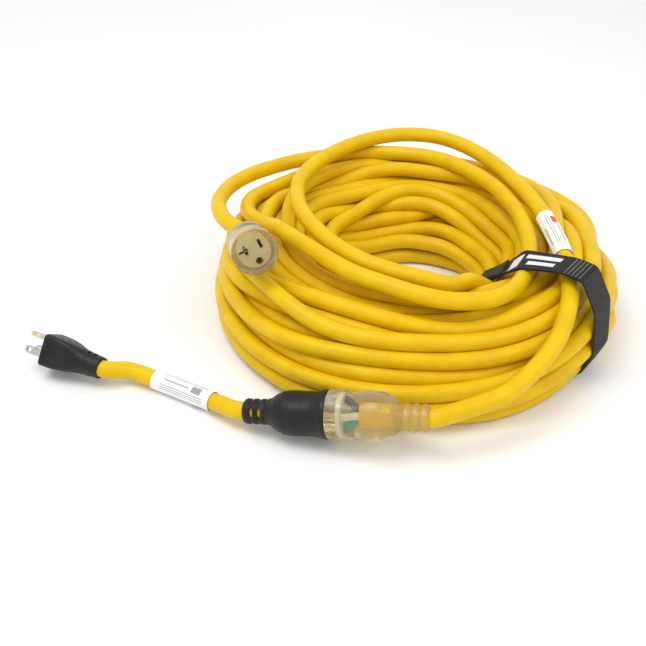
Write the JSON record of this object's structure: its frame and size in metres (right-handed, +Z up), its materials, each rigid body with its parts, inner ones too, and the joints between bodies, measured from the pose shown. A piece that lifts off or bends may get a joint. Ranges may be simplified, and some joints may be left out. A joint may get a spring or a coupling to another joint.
{
  "type": "extension cord",
  "caption": "Heavy-duty yellow extension cord wound in a strapped round coil, with clear moulded plug and connector and a short black-ended adapter cord plugged on.",
  "frame": {"origin": "on the floor, under the middle of the whole object's box", "axes": "+Z up; +Y from the mated pair in front towards the back of the coil; +X to the right, away from the adapter's plug"},
  "size_m": [0.4852, 0.3738, 0.1184],
  "materials": {
    "yellow_pvc": "semi-gloss extruded PVC jacket",
    "black_pvc": "satin moulded PVC",
    "clear_pvc": "clear, slightly milky moulded PVC",
    "carrier_resin": "translucent tan resin",
    "white_nylon": "natural nylon",
    "brass": "stamped and drawn brass",
    "nickel_plate": "satin nickel plate on brass",
    "wire_black": "PVC insulation",
    "wire_white": "PVC insulation",
    "wire_green": "PVC insulation",
    "strap_webbing": "woven hook-and-loop webbing",
    "label_paper": "coated paper label"
  },
  "bodies": {
    "main_cord": {"cord_coil": "yellow_pvc", "cord_plug_lead": "yellow_pvc", "cord_connector_lead": "yellow_pvc", "cord_label": "label_paper", "strap_band": "strap_webbing", "strap_tail": "strap_webbing", "plug_body": "clear_pvc", "plug_bridge": "white_nylon", "plug_blade_hot": "nickel_plate", "plug_blade_neutral": "nickel_plate", "plug_ground_pin": "brass", "plug_wire_black": "wire_black", "plug_wire_white": "wire_white", "plug_wire_green": "wire_green", "connector_body": "clear_pvc", "connector_carrier": "carrier_resin", "connector_contact_hot": "brass", "connector_contact_neutral": "brass", "connector_contact_ground": "brass", "connector_wire_black": "wire_black", "connector_wire_white": "wire_white", "connector_wire_green": "wire_green"},
    "adapter": {"adapter_connector_body": "black_pvc", "adapter_connector_carrier": "carrier_resin", "adapter_connector_contact_hot": "brass", "adapter_connector_contact_neutral": "brass", "adapter_connector_contact_ground": "brass", "adapter_connector_wire_black": "wire_black", "adapter_connector_wire_white": "wire_white", "adapter_connector_wire_green": "wire_green", "adapter_cord": "yellow_pvc", "adapter_label": "label_paper", "adapter_plug_body": "black_pvc", "adapter_plug_bridge": "white_nylon", "adapter_blade_hot": "nickel_plate", "adapter_blade_neutral": "nickel_plate", "adapter_ground_pin": "brass", "adapter_plug_wire_black": "wire_black", "adapter_plug_wire_white": "wire_white", "adapter_plug_wire_green": "wire_green"}
  },
  "joints": [
    {"name": "adapter_pull", "type": "slide", "parent": "main_cord", "child": "adapter", "axis": [-0.9637, 0.2225, -0.1478], "range_m": [0, 0.022]}
  ]
}
